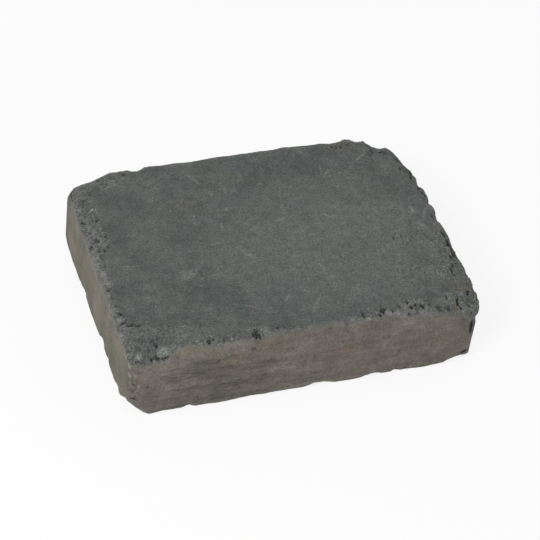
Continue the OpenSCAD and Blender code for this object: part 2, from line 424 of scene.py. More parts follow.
        (0, 0.06, 6, 26, 0.5, 0.4, 36), (0.28, 0, 52, 6, 0.95, 0.32, 34), (0.12, 0, 26, 6, 0.35, 0.35, 26),
        (0.87, 0, 44, 6, 0.4, 0.45, 34), (0, 0.97, 6, 24, 0.6, 0.5, 40),
    ),
    # Notches in the bed arris along the front, and worn steps in it along the left end
    *marked(
        DENT,
        (0.167, 0, 4, 4, 1.6, 0.03, 3), (0.528, 0, 4, 4, 1.2, 0.05, 3), (0.767, 0, 4, 4, 1.2, 0.03, 3),
    ),
    *marked(
        LOSS,
        (0, 0.635, 6, 7, 1, 0.1, 9), (0, 0.37, 6, 7, 1.1, 0.1, 9), (0, 0.29, 6, 4.5, 0.8, 0.1, 9),
        (0, 0.155, 6, 6, 0.7, 0.1, 9),
    ),
)


def linear(hex_colour: str) -> tuple[float, float, float, float]:
    """Turn an sRGB colour into Blender's linear one.

    Args:
        hex_colour: six hexadecimal digits after a hash sign.

    Returns:
        Red, green, blue and an alpha of 1.
    """
    shares = np.array([int(hex_colour[i:i + 2], 16) for i in (1, 3, 5)]) / 255
    light = np.where(shares <= 0.04045, shares / 12.92, ((shares + 0.055) / 1.055) ** 2.4)
    return (*(float(value) for value in light), 1.0)


def fade(values: np.ndarray, start: float | np.ndarray, end: float | np.ndarray) -> np.ndarray:
    """Go smoothly from 0 at start to 1 at end, with no slope at either.

    Args:
        values: what the fade follows.
        start: where it is still 0.
        end: where it has become 1.

    Returns:
        The share at each value.
    """
    share = np.clip((values - start) / (end - start), 0, 1)
    return share * share * (3 - 2 * share)


def add_node(
    tree: Tree,
    kind: str,
    inputs: dict[str | int, object] | None = None,
    settings: dict[str, object] | None = None,
    output: str | int = 0,
) -> Socket | None:
    """Add a node, with its settings and what comes into its sockets.

    Args:
        tree: the node tree that it goes into.
        kind: Blender's name for the kind of node.
        inputs: a value, or another node's output, for each socket by name or number.
        settings: the node's own settings by name.
        output: the output that is wanted, by name or number.

    Returns:
        That output, or nothing from a node that has none.
    """
    node = tree.nodes.new(kind)
    for name, value in (settings or {}).items():
        setattr(node, name, value)
    for name, value in (inputs or {}).items():
        if isinstance(value, Socket):
            tree.links.new(value, node.inputs[name])
        else:
            node.inputs[name].default_value = value
    return node.outputs[output] if node.outputs else None


@dataclass
class SpaceNoise:
    """Smooth noise in space, drawn once from a seed."""

    seed: int
    entries: int = 256
    gain: float = 1.6
    order: np.ndarray = field(init=False)
    slopes: np.ndarray = field(init=False)

    def __post_init__(self) -> None:
        """Draw the tables that every cell of the lattice picks from."""
        draw = np.random.default_rng(self.seed)
        self.order = draw.permutation(self.entries)
        slopes = draw.normal(size=(self.entries, 3))
        self.slopes = slopes / np.linalg.norm(slopes, axis=1, keepdims=True)

    def entry(self, cell: np.ndarray) -> np.ndarray:
        """Pick a table entry for each cell, shuffling its x, y and z into one number.

        Args:
            cell: whole numbers, three to a cell.

        Returns:
            One table entry for each cell.
        """
        last = self.entries - 1
        picked = self.order[cell[..., 0] & last]
        picked = self.order[(picked + cell[..., 1]) & last]
        return self.order[(picked + cell[..., 2]) & last]

    def waves(self, points: np.ndarray, wavelength: float | tuple[float, float, float]) -> np.ndarray:
        """Gradient noise: each lattice corner has a slope, and the slopes' heights are blended in between.

        The blend is 6 times the fifth power less 15 times the fourth plus 10 times the third.

        Args:
            points: places in mm, three numbers each.
            wavelength: the lattice's pitch in mm, or one for each axis.

        Returns:
            Heights of about -1 to 1.
        """
        scaled = points / np.asarray(wavelength, dtype=float)
        cell = np.floor(scaled).astype(int)
        inside = scaled - cell
        blend = inside ** 3 * (inside * (inside * 6 - 15) + 10)
        total = np.zeros(len(points))
        for corner in np.ndindex(2, 2, 2):
            weight = np.where(corner, blend, 1 - blend).prod(axis=1)
            slope = self.slopes[self.entry(cell + corner)]
            total += weight * ((inside - corner) * slope).sum(axis=1)
        return total * self.gain

    def layers(self, points: np.ndarray, layers: Layers) -> np.ndarray:
        """Add up waves of several wavelengths, each by its height.

        Args:
            points: places in mm, three numbers each.
            layers: the wavelength and the height of each.

        Returns:
            The sum at each point.
        """
        return sum(height * self.waves(points, wavelength) for wavelength, height in layers)


@dataclass
class Arris:
    """Section of an arris at each point: its width on the face, its height on the side and its roundness."""

    width: np.ndarray
    height: np.ndarray
    roundness: np.ndarray


@dataclass
class WornPoints:
    """Points of the worn stone, and where each lies on its outline and section."""

    places: np.ndarray
    walk: np.ndarray
    inset: np.ndarray
    below_face: np.ndarray
    face_turn: np.ndarray
    bed_turn: np.ndarray
    on_end: np.ndarray


@dataclass
class TumbledForm:
    """The moulded slab and the wear that tumbling leaves on it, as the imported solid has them."""

    length: float
    width: float
    thickness: float
    corner_roundings: tuple[float, float, float, float] = (4, 6, 7, 6)
    face_wear: tuple[float, float] = (5, 4)
    bed_wear: tuple[float, float] = (4, 4)
    wear_swing: float = 0.45
    wear_waves: tuple[tuple[float, float, float], ...] = (
        (9, 0.3, 40), (17, 0.3, 200), (31, 0.25, 95), (53, 0.15, 310),
    )
    chip_span: float = 120
    chip_width: float = 36
    chip_height: float = 17
    chip_roundness: float = 1
    chip_ragged: Layers = ((9, 0.9), (4, 0.6))
    arris_roundness: float = 2
    core_margin: float = 4
    corner_ease: float = 3

    @property
    def corner_reach(self) -> float:
        """Length of edge that a corner takes up."""
        return self.chip_width + self.core_margin

    @property
    def perimeter(self) -> float:
        """Length of the sharp outline."""
        return 2 * (self.length + self.width)

    @property
    def box(self) -> np.ndarray:
        """Sizes of the slab along X, Y and Z."""
        return np.array([self.length, self.width, self.thickness])

    def place(self, shares: tuple[float, float, float]) -> np.ndarray:
        """Turn shares of the stone's box, from its lowest corner, into a place in mm."""
        return (np.array(shares) - ORIGIN_SHARES) * self.box

    def along(self, edge: Edge, share: float) -> float:
        """Walk along the outline to a share of an edge."""
        lengths = (self.length, self.width, self.length, self.width)
        return sum(lengths[:edge]) + share * lengths[edge]

    def bump_along(self, walk: np.ndarray, edge: Edge, share: float, span: float) -> np.ndarray:
        """A parabola along the outline: 1 at its place on an edge, 0 past half its span to either side.

        Args:
            walk: places along the outline.
            edge: the edge that the parabola's middle is on.
            share: its place along that edge.
            span: its whole length in mm.

        Returns:
            Its height at each place.
        """
        apart = np.abs(walk - self.along(edge, share)) % self.perimeter
        gap = np.minimum(apart, self.perimeter - apart)
        return np.maximum(0, 1 - (gap / (span / 2)) ** 2)

    def arris(self, walk: np.ndarray, wear: tuple[float, float], chips: tuple[Chip, ...]) -> Arris:
        """Section of an arris: the larger of the wear, which swells in waves, and each chip that reaches it.

        Args:
            walk: places along the outline.
            wear: mean width and height of the wear.
            chips: the chips out of this arris.

        Returns:
            The section at each place.
        """
        turns = 2 * np.pi * walk / self.perimeter
        swell = 1 + self.wear_swing * sum(
            share * np.sin(count * turns + np.radians(phase)) for count, share, phase in self.wear_waves
        )
        width, height = wear[0] * swell, wear[1] * swell
        chipped = np.zeros_like(walk)
        for chip in chips:
            depth = self.bump_along(walk, chip.edge, chip.place, chip.span * self.chip_span)
            width = np.maximum(width, depth * chip.width * self.chip_width)
            height = np.maximum(height, depth * chip.height * self.chip_height)
            chipped = np.maximum(chipped, depth)
        roundness = self.arris_roundness + (self.chip_roundness - self.arris_roundness) * chipped
        return Arris(width, height, roundness)

    @staticmethod
    def over(arris: Arris, past: np.ndarray) -> tuple[np.ndarray, np.ndarray, np.ndarray]:
        """Carry a walk up a sharp side and in over its face across the worn arris, a superellipse quarter.

        Args:
            arris: the section at each point.
            past: how far the walk has gone past the arris's start on the side.

        Returns:
            Inset from the side, drop from the face, and how far round the arris, from 0 to 1.
        """
        share = np.clip(past / (arris.width + arris.height), 0, 1)
        turn = share * np.pi / 2
        power = 2 / arris.roundness
        inset = arris.width * (1 - np.maximum(np.cos(turn), 0) ** power)
        drop = arris.height * (1 - np.maximum(np.sin(turn), 0) ** power)
        inset = np.where(share >= 1, past - arris.height, inset)
        drop = np.where(share <= 0, arris.height - past, drop)
        return inset, drop, share

    def worn(self, sharp: np.ndarray, noise: SpaceNoise) -> WornPoints:
        """Wear the sharp slab's points back onto the tumbled stone.

        Each point outside the core of the plan is on a line from the core to the outline. Its share of that
        line gives the walk in from the side, and the line's end gives the walk along the outline. A corner's
        outline is a superellipse that falls short of the sharp corner by its rounding.

        Args:
            sharp: points of the sharp slab in mm.
            noise: what makes the chips' outlines ragged.

        Returns:
            The worn points.
        """
        reach = self.corner_reach
        half = np.array([self.length, self.width]) / 2
        plan = sharp[:, :2]
        core = np.sign(plan) * np.minimum(np.abs(plan), half - reach)
        ray = plan - core
        share = np.abs(ray).max(axis=1) / reach
        end = core + ray / np.maximum(share, TINY)[:, None]
        on_side = np.abs(ray[:, 1]) <= np.abs(ray[:, 0])
        forward = np.where(on_side, plan[:, 0] > 0, plan[:, 1] < 0)
        walk = np.where(
            on_side,
            np.where(forward, self.length + half[1] + end[:, 1], self.perimeter - half[1] - end[:, 1]),
            np.where(forward, half[0] + end[:, 0], self.length + self.width + half[0] - end[:, 0]),
        )
        walk_ragged = walk + noise.layers(sharp, self.chip_ragged)
        out = ray / np.maximum(np.linalg.norm(ray, axis=1), TINY)[:, None]
        corner = np.where(plan[:, 1] < 0, np.where(plan[:, 0] < 0, 0, 1), np.where(plan[:, 0] < 0, 3, 2))
        rounding = np.array(self.corner_roundings)[corner]
        squareness = -np.log(2) / np.log(1 - rounding / (reach * np.sqrt(2)))
        spread = (np.abs(out) ** squareness[:, None]).sum(axis=1)
        far = reach * np.maximum(spread, TINY) ** (-1 / squareness)

        inward = reach * (1 - share)
        top = sharp[:, 2] >= self.thickness - LEVEL_SLACK
        bed = sharp[:, 2] <= LEVEL_SLACK
        face_arris = self.arris(walk_ragged, self.face_wear, FACE_CHIPS)
        bed_arris = self.arris(walk_ragged, self.bed_wear, BED_CHIPS)
        up = np.where(top, self.thickness + inward, sharp[:, 2])
        down = np.where(bed, self.thickness + inward, self.thickness - sharp[:, 2])
        face_inset, face_drop, face_turn = self.over(face_arris, up - self.thickness + face_arris.height)
        bed_inset, bed_drop, bed_turn = self.over(bed_arris, down - self.thickness + bed_arris.height)
        upper = sharp[:, 2] > self.thickness / 2
        inset = np.where(upper, face_inset, bed_inset)
        height = np.where(upper, self.thickness - face_drop, bed_drop)
        pulled = far - inset - (far - reach) * (inset / reach) ** self.corner_ease
        places = np.column_stack([core + out * pulled[:, None], height])
        in_core = share <= 0
        places[in_core] = sharp[in_core]
        below_face = np.where(top, 0, np.maximum(self.thickness - face_arris.height - sharp[:, 2], 0))
        inset_from_side = np.where(upper, inset, 0)
        return WornPoints(places, walk, inset_from_side, below_face, face_turn, bed_turn, on_side)


@dataclass
class ConcreteSkin:
    """Relief of the tumbled skin over the worn form, and the traits that its concrete takes from it."""

    form: TumbledForm
    noise: SpaceNoise
    worn: WornPoints
    # All over: broad swells and fine grit, and the grain of the bed
    swells: Layers = ((70, 0.25), (17, 0.1), (3.4, 0.07))
    bed_grain: float = 8
    bed_depth: float = 0.4
    # The sides' pale skin: its ragged edge, and how softly it meets the wearing face from patch to patch
    skin_ragged: Layers = ((7, 1.1), (3, 0.7))
    soft_least: float = 1.2
    soft_swing: float = 2.4
    soft_patch: float = 28
    soft_levels: tuple[float, float] = (-0.3, 0.4)
    end_softness: float = 2.2
    # Torn rims: their ragged bands, the share of a band that is torn all through, and where they set in
    torn_ragged: Layers = ((12, 0.8), (5, 0.5))
    torn_whole: float = 0.3
    torn_onset: tuple[float, float] = (-3, 1)
    least_band: float = 0.01
    # Lumps of crumbled concrete by size, the bends of the creases between, and where these are open, with
    # painted shade in the open creases
    crumbs: Layers = ((8, 1.4), (3.9, 0.7), (2, 0.35))
    crumb_floor: float = 0.3
    crumb_spread: float = 30
    crumb_bend: Layers = ((6, 1.3),)
    crumb_shifts: tuple[float, float, float] = (11, 57, 93)
    crease_width: float = 0.7
    crease_depth: float = 0.5
    crease_shade: float = 0.4
    open_patch: float = 9
    open_levels: tuple[float, float] = (-0.05, 0.4)
    # Single marks: ragged outlines, how far a stone stands out, and the depth of a dent whose painted shade
    # is full
    mark_ragged: Layers = ((4, 1.2), (1.9, 0.9))
    mark_shifts: tuple[float, float, float] = (0, 40, 80)
    grain_height: float = 0.9
    full_shade_depth: float = 1.7
    # The flake off the front left: its line as shares of the face, its end on the arris, its floor and seam
    flake_line: tuple[tuple[float, float], ...] = (
        (0.0, 0.255), (0.03, 0.19), (0.1, 0.178), (0.165, 0.17), (0.205, 0.15), (0.235, 0.115), (0.26, 0.0),
    )
    flake_turn: float = 0.5
    flake_ragged: Layers = ((13, 2),)
    flake_lumps: Layers = ((3, 0.25),)
    flake_step: float = 0.7
    flake_slope: float = 3
    flake_broken: float = 0.5
    seam_half_width: float = 1.6
    seam_end: tuple[float, float] = (0.13, 0.06)
    # The seam's depth also sets the painted shade along it
    seam_depth: float = 0.5
    # Drag marks: length and thickness on each side, depth, and where and how strongly they show
    front_drag: tuple[float, float] = (16, 1.6)
    end_drag: tuple[float, float] = (45, 7)
    drag_depth: float = 0.12
    drag_ridge: float = 0.2
    drag_patch: float = 38
    drag_shift: float = 0.3
    drag_top: tuple[float, float] = (1, 0.6)
    drag_left: tuple[float, float] = (0.05, 0.15)
    drag_right: tuple[float, float] = (0.7, 0.3)
    drag_levels: tuple[float, float] = (-0.6, 0.6)
    drag_margin: float = 6
    end_strength: float = 0.5
    back_strength: float = 0.6
    # Colours that follow the form: pale arris, rubbed face, and the olive of the ends, less near the top
    arris_band: float = 6
    arris_patch: float = 14
    arris_levels: tuple[float, float] = (-0.7, 0.4)
    rubbed_middle: tuple[float, float] = (0.66, 0.45)
    rubbed_reach: tuple[float, float] = (0.45, 0.42)
    end_ragged: Layers = ((16, 0.2),)
    end_top: tuple[float, float] = (0.5, 0.95)
    end_loss: float = 0.6

    @cached_property
    def shares(self) -> np.ndarray:
        """Places of the points as shares of the stone's box from its lowest corner."""
        return self.worn.places / self.form.box + ORIGIN_SHARES

    @cached_property
    def ragged(self) -> np.ndarray:
        """Places of the points, moved about so that marks get ragged outlines."""
        return self.moved(self.mark_ragged, self.mark_shifts)

    def moved(self, layers: Layers, shifts: tuple[float, float, float]) -> np.ndarray:
        """Move the points about, along each axis by noise of its own.

        Args:
            layers: the noise.
            shifts: where in the noise each axis is.

        Returns:
            The moved places.
        """
        places = self.worn.places
        return places + np.column_stack([self.noise.layers(places + shift, layers) for shift in shifts])

    def past_skin(self) -> np.ndarray:
        """How far inside the edge of the sides' pale skin each point lies, the edge following its reaches.

        Returns:
            Distance in mm, negative on the sides and on the part of the arris that the skin covers.
        """
        walks = [self.form.along(row.edge, row.place) for row in SKIN_REACHES]
        reaches = [row.reach for row in SKIN_REACHES]
        edge = np.interp(self.worn.walk, walks, reaches, period=self.form.perimeter)
        ragged = self.noise.layers(self.worn.places, self.skin_ragged)
        return self.worn.inset - self.worn.below_face - edge + ragged

    def torn(self, past_skin: np.ndarray) -> np.ndarray:
        """How torn the rim is: each rough stretch from the pale skin's edge inwards, fading over its band.

        Args:
            past_skin: how far inside the pale skin each point lies.

        Returns:
            From 0 for pressed skin to 1 for torn concrete.
        """
        ragged = 1 + self.noise.layers(self.worn.places, self.torn_ragged)
        torn = np.zeros_like(ragged)
        for stretch in ROUGH_STRETCHES:
            along = np.sqrt(self.form.bump_along(self.worn.walk, stretch.edge, stretch.place, stretch.span))
            band = stretch.band * along * ragged
            inner = 1 - fade(past_skin, self.torn_whole * band, band + self.least_band)
            torn = np.maximum(torn, stretch.strength * along * inner)
        return np.clip(np.maximum(torn * fade(past_skin, *self.torn_onset), self.marks(CRUMB)), 0, 1)

    def flake(self) -> tuple[np.ndarray, np.ndarray]:
        """The shallow flake off the front left of the wearing face, below its ragged edge line.

        Returns:
            A share that is 1 inside the flake, and one that is 1 along the torn start of its line.
        """
        x, y, _ = self.shares.T
        line_x, line_y = np.array(self.flake_line).T
        line = np.interp(x, line_x, line_y)
        inside = (line - y) * self.form.width + self.noise.layers(self.worn.places, self.flake_ragged)
        upper = (self.worn.face_turn > self.flake_turn) & (x < line_x[-1])
        seam = np.maximum(0, 1 - np.abs(inside) / self.seam_half_width) * fade(x, *self.seam_end)
        return np.where(upper, fade(inside, 0, self.flake_slope), 0), np.where(upper, seam, 0)

    def marks(self, kind: MarkKind) -> np.ndarray:
        """The strongest mark of one kind: each is a paraboloid in a ragged ellipsoid, cut off at 1.

        Args:
            kind: which marks to look at.

        Returns:
            Their amount at each point, down to 0 away from them.
        """
        amount = np.zeros(len(self.ragged))
        for mark in MARKS:
            if mark.kind is kind:
                middle = self.form.place((mark.x, mark.y, mark.z))
                away = (((self.ragged - middle) / (mark.half_x, mark.half_y, mark.half_z)) ** 2).sum(axis=1)
                amount = np.maximum(amount, mark.amount * np.clip(kind.steepness * (1 - away), 0, 1))
        return amount

    def drag(self) -> tuple[np.ndarray, np.ndarray]:
        """Marks that the mould dragged out: along the front and back, up the ends, most of them front left.

        Returns:
            How strongly they show, and each point's place in lengths and thicknesses of the marks.
        """
        x, y, z = self.worn.places.T
        along, _, up = self.shares.T
        patches = self.noise.waves(self.worn.places, self.drag_patch)
        low = fade(up + self.drag_shift * patches, *self.drag_top)
        front = fade(along, *self.drag_left) * fade(along + self.drag_shift * patches, *self.drag_right) * low
        end = fade(patches, *self.drag_levels)
        off_arris = fade(self.worn.below_face, 0, self.drag_margin) * (self.worn.bed_turn <= 0)
        strength = np.where(self.worn.on_end, self.end_strength * end, front) * off_arris
        strength = np.where(y > 0, self.back_strength, 1) * strength
        ends = np.column_stack([z / self.end_drag[0], y / self.end_drag[1], np.zeros_like(x)])
        fronts = np.column_stack([x / self.front_drag[0], z / self.front_drag[1], np.ones_like(x)])
        return strength, np.where(self.worn.on_end[:, None], ends, fronts)

    def crumbled(self) -> tuple[np.ndarray, np.ndarray]:
        """Crumbled concrete: noise folded up at 0, which makes lumps with creases between, in several sizes.

        Returns:
            Height of the lumps in mm, and a share that is 1 in the creases, where these are open.
        """
        bent = self.moved(self.crumb_bend, self.crumb_shifts)
        height = np.zeros(len(bent))
        crease = np.zeros(len(bent))
        for size, tallest in self.crumbs:
            fold = np.abs(self.noise.waves(bent + self.crumb_spread * size, size))
            height += tallest * (fold - self.crumb_floor)
            crease = np.maximum(crease, 1 - fade(fold, 0, self.crease_width / size))
        opened = crease * fade(self.noise.waves(self.worn.places, self.open_patch), *self.open_levels)
        return height - self.crease_depth * opened, opened

    def rubbed(self) -> np.ndarray:
        """Where the wearing face is rubbed paler: a bowl over an ellipse a little right of its middle.

        Returns:
            The share at each point.
        """
        away = (self.shares[:, :2] - self.rubbed_middle) / self.rubbed_reach
        return fade(1 - (away ** 2).sum(axis=1), 0, 1)

    def relief(self) -> tuple[np.ndarray, dict[Trait, np.ndarray], np.ndarray]:
        """Add up the skin: swells and grit all over, lumps and creases where it is torn, and single marks.

        Returns:
            Height of the skin over the worn form in mm, each trait, and the points' places in drag marks.
        """
        noise = self.noise
        places = self.worn.places
        on_end = self.worn.on_end
        past_skin = self.past_skin()
        torn = self.torn(past_skin)
        lumps, crease = self.crumbled()
        dents = self.marks(DENT)
        pale = self.marks(GRAIN)
        flaked, seam = self.flake()
        drag, drag_place = self.drag()

        flake_floor = noise.layers(places, self.flake_lumps) - self.flake_step
        flake_relief = flaked * flake_floor - self.seam_depth * seam
        drag_relief = self.drag_depth * drag * np.minimum(noise.waves(drag_place, 1), self.drag_ridge)
        height = noise.layers(places, self.swells) + torn * lumps + flake_relief + drag_relief
        height += self.grain_height * pale + self.marks(LUMP) - dents - self.marks(LOSS)
        grained = np.minimum(height, 0) - self.bed_depth * np.abs(noise.waves(places, self.bed_grain))
        height = np.where(self.worn.bed_turn > 0, grained, height)

        patches = fade(noise.waves(places, self.soft_patch), *self.soft_levels)
        soft = np.where(on_end, self.end_softness, 1) * (self.soft_least + self.soft_swing * patches)
        worn_arris = fade(noise.waves(places, self.arris_patch), *self.arris_levels)
        upward = self.shares[:, 2] + noise.layers(places, self.end_ragged)
        # Painted shade: darker in dents by their depth, in open creases of torn rims and along the flake's
        # seam
        hollow = dents / self.full_shade_depth + self.crease_shade * torn * crease + self.seam_depth * seam
        traits = {
            Trait.WEARING_FACE: fade(past_skin, -soft, soft),
            Trait.BROKEN: np.clip(torn + self.flake_broken * flaked, 0, 1),
            Trait.HOLLOW_SHADE: np.clip(hollow, 0, 1),
            Trait.ARRIS: fade(np.abs(past_skin), self.arris_band, 0) * worn_arris,
            Trait.GRAIN: pale,
            Trait.RUST: self.marks(RUST),
            Trait.SCUFF: self.marks(SCUFF),
            Trait.DRAG: drag,
            Trait.SMUDGE: self.marks(SMUDGE),
            Trait.RUBBED: self.rubbed(),
            Trait.END: on_end * (1 - self.end_loss * fade(upward, *self.end_top)),
        }
        return height, traits, drag_place


@dataclass(frozen=True)
class Pattern:
    """Noise in the concrete: its size, finer octaves, the levels that become 0 and 1, and what 1 becomes."""

    size: float
    octaves: float
    low: float
    high: float
    most: float = 1.0

    def share(self, tree: Tree, spot: Socket, unit: float = MM) -> Socket:
        """Draw the pattern on a material.

        Args:
            tree: the material's nodes.
            spot: the coordinates that it follows.
            unit: the unit of its size in those coordinates.

        Returns:
            Its share at each spot.
        """
        noise = add_node(
            tree, "ShaderNodeTexNoise",
            {"Vector": spot, "Scale": 1 / (self.size * unit), "Detail": self.octaves},
        )
        return add_node(
            tree, "ShaderNodeMapRange",
            {"Value": noise, "From Min": self.low, "From Max": self.high, "To Max": self.most},
        )


@dataclass(frozen=True)
class TumbledConcrete:
    """Pressed grey concrete, through-coloured and tumbled: matt, gritty, darker on the face than the sides.

    The eye sees a cool grey face with faint clouds, sand grains and pale scuffs, taupe sides with drag marks,
    and torn rims where the paste is darker and stones of the aggregate show. Holes, creases, cracks, pits,
    pores and voids have painted shade.
    """

    roughness: float = 0.9
    diffuse_roughness: float = 0.6
    ior: float = 1.5
    bump_mm: float = 0.4
    # Wearing face
    face_dark: str = "#4d4f4e"
    face_pale: str = "#5c5e5c"
    face_cool: str = "#4b5556"
    face_warm: str = "#5b5c55"
    face_rubbed: str = "#676966"
    scuff: str = "#868883"
    clouds: Pattern = Pattern(24, 4, 0.33, 0.67)
    cool_clouds: Pattern = Pattern(38, 3, 0.48, 0.7, 0.7)
    warm_clouds: Pattern = Pattern(46, 3, 0.5, 0.7, 0.7)
    rubbed_share: float = 0.6
    specks: Pattern = Pattern(3.1, 0, 0.24, 0.17, 0.3)
    scuff_bends: tuple[Pattern, ...] = (Pattern(95, 0, 0, 1), Pattern(71, 0, 0, 1), Pattern(54, 0, 0, 1))
    scuff_breaks: Pattern = Pattern(15, 1, 0.52, 0.68, 0.38)
    scuff_width: float = 0.012
    # Sides, with painted shade in small voids, and streaks and dashes sized in lengths and thicknesses of the
    # drag marks
    side_dark: str = "#645f58"
    side_pale: str = "#77716a"
    side_rosy: str = "#76675f"
    side_green: str = "#656453"
    side_smudge: str = "#57524b"
    end_olive: str = "#5d5c4b"
    drag_dark: str = "#47433d"
    void_shade: str = "#3a3732"
    rosy_patches: Pattern = Pattern(19, 3, 0.5, 0.7, 0.5)
    green_patches: Pattern = Pattern(21, 3, 0.52, 0.7, 0.7)
    smudges: Pattern = Pattern(13, 4, 0.5, 0.68, 0.6)
    end_patches: Pattern = Pattern(30, 3, 0.24, 0.6, 0.9)
    smear_breaks: Pattern = Pattern(9, 3, 0.3, 0.6)
    void_shade_spots: Pattern = Pattern(7, 1, 0.74, 0.79, 0.7)
    streaks: Pattern = Pattern(2.8, 4, 0.3, 0.7)
    streak_swing: float = 0.14
    drag_breaks: Pattern = Pattern(2.8, 2, 0.56, 0.42)
    drag_octaves: float = 4.0
    drag_roughness: float = 0.65
    drag_bend: float = 0.5
    drag_low: float = 0.57
    drag_high: float = 0.4
    # Arris and torn rims, with painted shade in the torn rims' pits and cracks
    arris_pale: str = "#7b7e7a"
    torn_dark: str = "#4a4d4b"
    torn_pale: str = "#7d7f79"
    fleck: str = "#999a94"
    arris_share: float = 0.42
    torn_grains: Pattern = Pattern(1.8, 2, 0.3, 0.7)
    torn_pit_shade: Pattern = Pattern(2.1, 1, 0.4, 0.32, 0.75)
    flecks: Pattern = Pattern(2, 1, 0.66, 0.76, 0.5)
    crack_bends: tuple[Pattern, ...] = (Pattern(6.5, 2, 0, 1), Pattern(4.3, 1, 0, 1))
    crack_breaks: Pattern = Pattern(8, 1, 0.45, 0.6, 0.8)
    crack_width: float = 0.05
    # Stones, rust, and painted shade in hollows, darkest where they are deep
    grain_pale: str = "#a9aaa2"
    rust: str = "#6f5942"
    hollow: str = "#303332"
    deep: str = "#151716"
    grain_breaks: Pattern = Pattern(2.6, 2, 0.28, 0.55)
    rust_breaks: Pattern = Pattern(3, 2, 0.4, 0.6)
    hollow_rims: Pattern = Pattern(1.6, 2, 0.25, 0.75)
    hollow_ragged: float = 1.1
    hollow_least: float = 0.5
    hollow_low: float = 0.45
    hollow_high: float = 0.75
    hollow_share: float = 0.9
    deep_low: float = 0.85
    deep_high: float = 1.25
    # Grain all over, finer on the sides, and painted shade in pores
    # Painted shade in pores
    pore_shade: str = "#3a3d3b"
    pores: Pattern = Pattern(2.7, 0, 0.7, 0.8, 0.5)
    grit: Pattern = Pattern(1.4, 2, 0.25, 0.75)
    grit_swing: float = 0.46
    side_grit: float = 0.6
    mottle: Pattern = Pattern(6.5, 3, 0.3, 0.7)
    mottle_swing: float = 0.15

    @staticmethod
    def coated(tree: Tree, base: Socket | str, coats: tuple[tuple[Socket, Socket | str], ...]) -> Socket:
        """Lay colours over a base, each by its own share.

        Args:
            tree: the material's nodes.
            base: the lowest colour.
            coats: a share and a colour for each coat, from the lowest up.

        Returns:
            The colour of it all.
        """
        colour = linear(base) if isinstance(base, str) else base
        for share, coat in coats:
            over = linear(coat) if isinstance(coat, str) else coat
            colour = add_node(
                tree, "ShaderNodeMix", {0: share, 6: colour, 7: over}, {"data_type": "RGBA"}, output=2,
            )
        return colour

    @staticmethod
    def varied(
        tree: Tree, colour: Socket, patterns: tuple[tuple[Socket, float, Socket | float], ...],
    ) -> Socket:
        """Darken and lighten a colour by patterns, each from 1 less its swing to 1 plus it.

        Args:
            tree: the material's nodes.
            colour: the colour.
            patterns: a pattern, its swing, and how much of it counts at each spot.

        Returns:
            The varied colour.
        """
        for share, swing, part in patterns:
            gain = add_node(
                tree, "ShaderNodeMapRange", {"Value": share, "To Min": 1 - swing, "To Max": 1 + swing},
            )
            colour = add_node(
                tree, "ShaderNodeMix",
                {0: part, 6: colour, 7: gain},
                {"data_type": "RGBA", "blend_type": "MULTIPLY"},
                output=2,
            )
        return colour

    @staticmethod
    def level_lines(tree: Tree, spot: Socket, bends: tuple[Pattern, ...], width: float) -> Socket:
        """Fine curved lines: where a noise is half way up, fading to either side of that level.

        Args:
            tree: the material's nodes.
            spot: the coordinates that they follow.
            bends: the noises, each of which gives lines of its own.
            width: how far the noise goes from that level before a line has faded.

        Returns:
            The lines' share at each spot.
        """
        half_way = 0.5
        lines = None
        for bend in bends:
            level = add_node(
                tree, "ShaderNodeMath", {0: bend.share(tree, spot), 1: half_way}, {"operation": "PINGPONG"},
            )
            line = add_node(
                tree, "ShaderNodeMapRange",
                {"Value": level, "From Min": half_way - width, "From Max": half_way},
            )
            lines = line if lines is None else add_node(
                tree, "ShaderNodeMath", {0: lines, 1: line}, {"operation": "MAXIMUM"},
            )
        return lines

    def dragged(self, tree: Tree, place: Socket, strength: Socket) -> Socket:
        """Dark dashes where the mould dragged the sides, from noise in lengths and thicknesses of the marks.

        Args:
            tree: the material's nodes.
            place: the coordinates in lengths and thicknesses of the marks.
            strength: how strongly they show.

        Returns:
            Their share at each spot.
        """
        noise = add_node(
            tree, "ShaderNodeTexNoise",
            {
                "Vector": place,
                "Scale": 1.0,
                "Detail": self.drag_octaves,
                "Roughness": self.drag_roughness,
                "Distortion": self.drag_bend,
            },
        )
        dashes = add_node(
            tree, "ShaderNodeMapRange",
            {"Value": noise, "From Min": self.drag_low, "From Max": self.drag_high},
        )
        for part in (self.drag_breaks.share(tree, place, 1), strength):
            dashes = add_node(tree, "ShaderNodeMath", {0: dashes, 1: part}, {"operation": "MULTIPLY"})
        return dashes

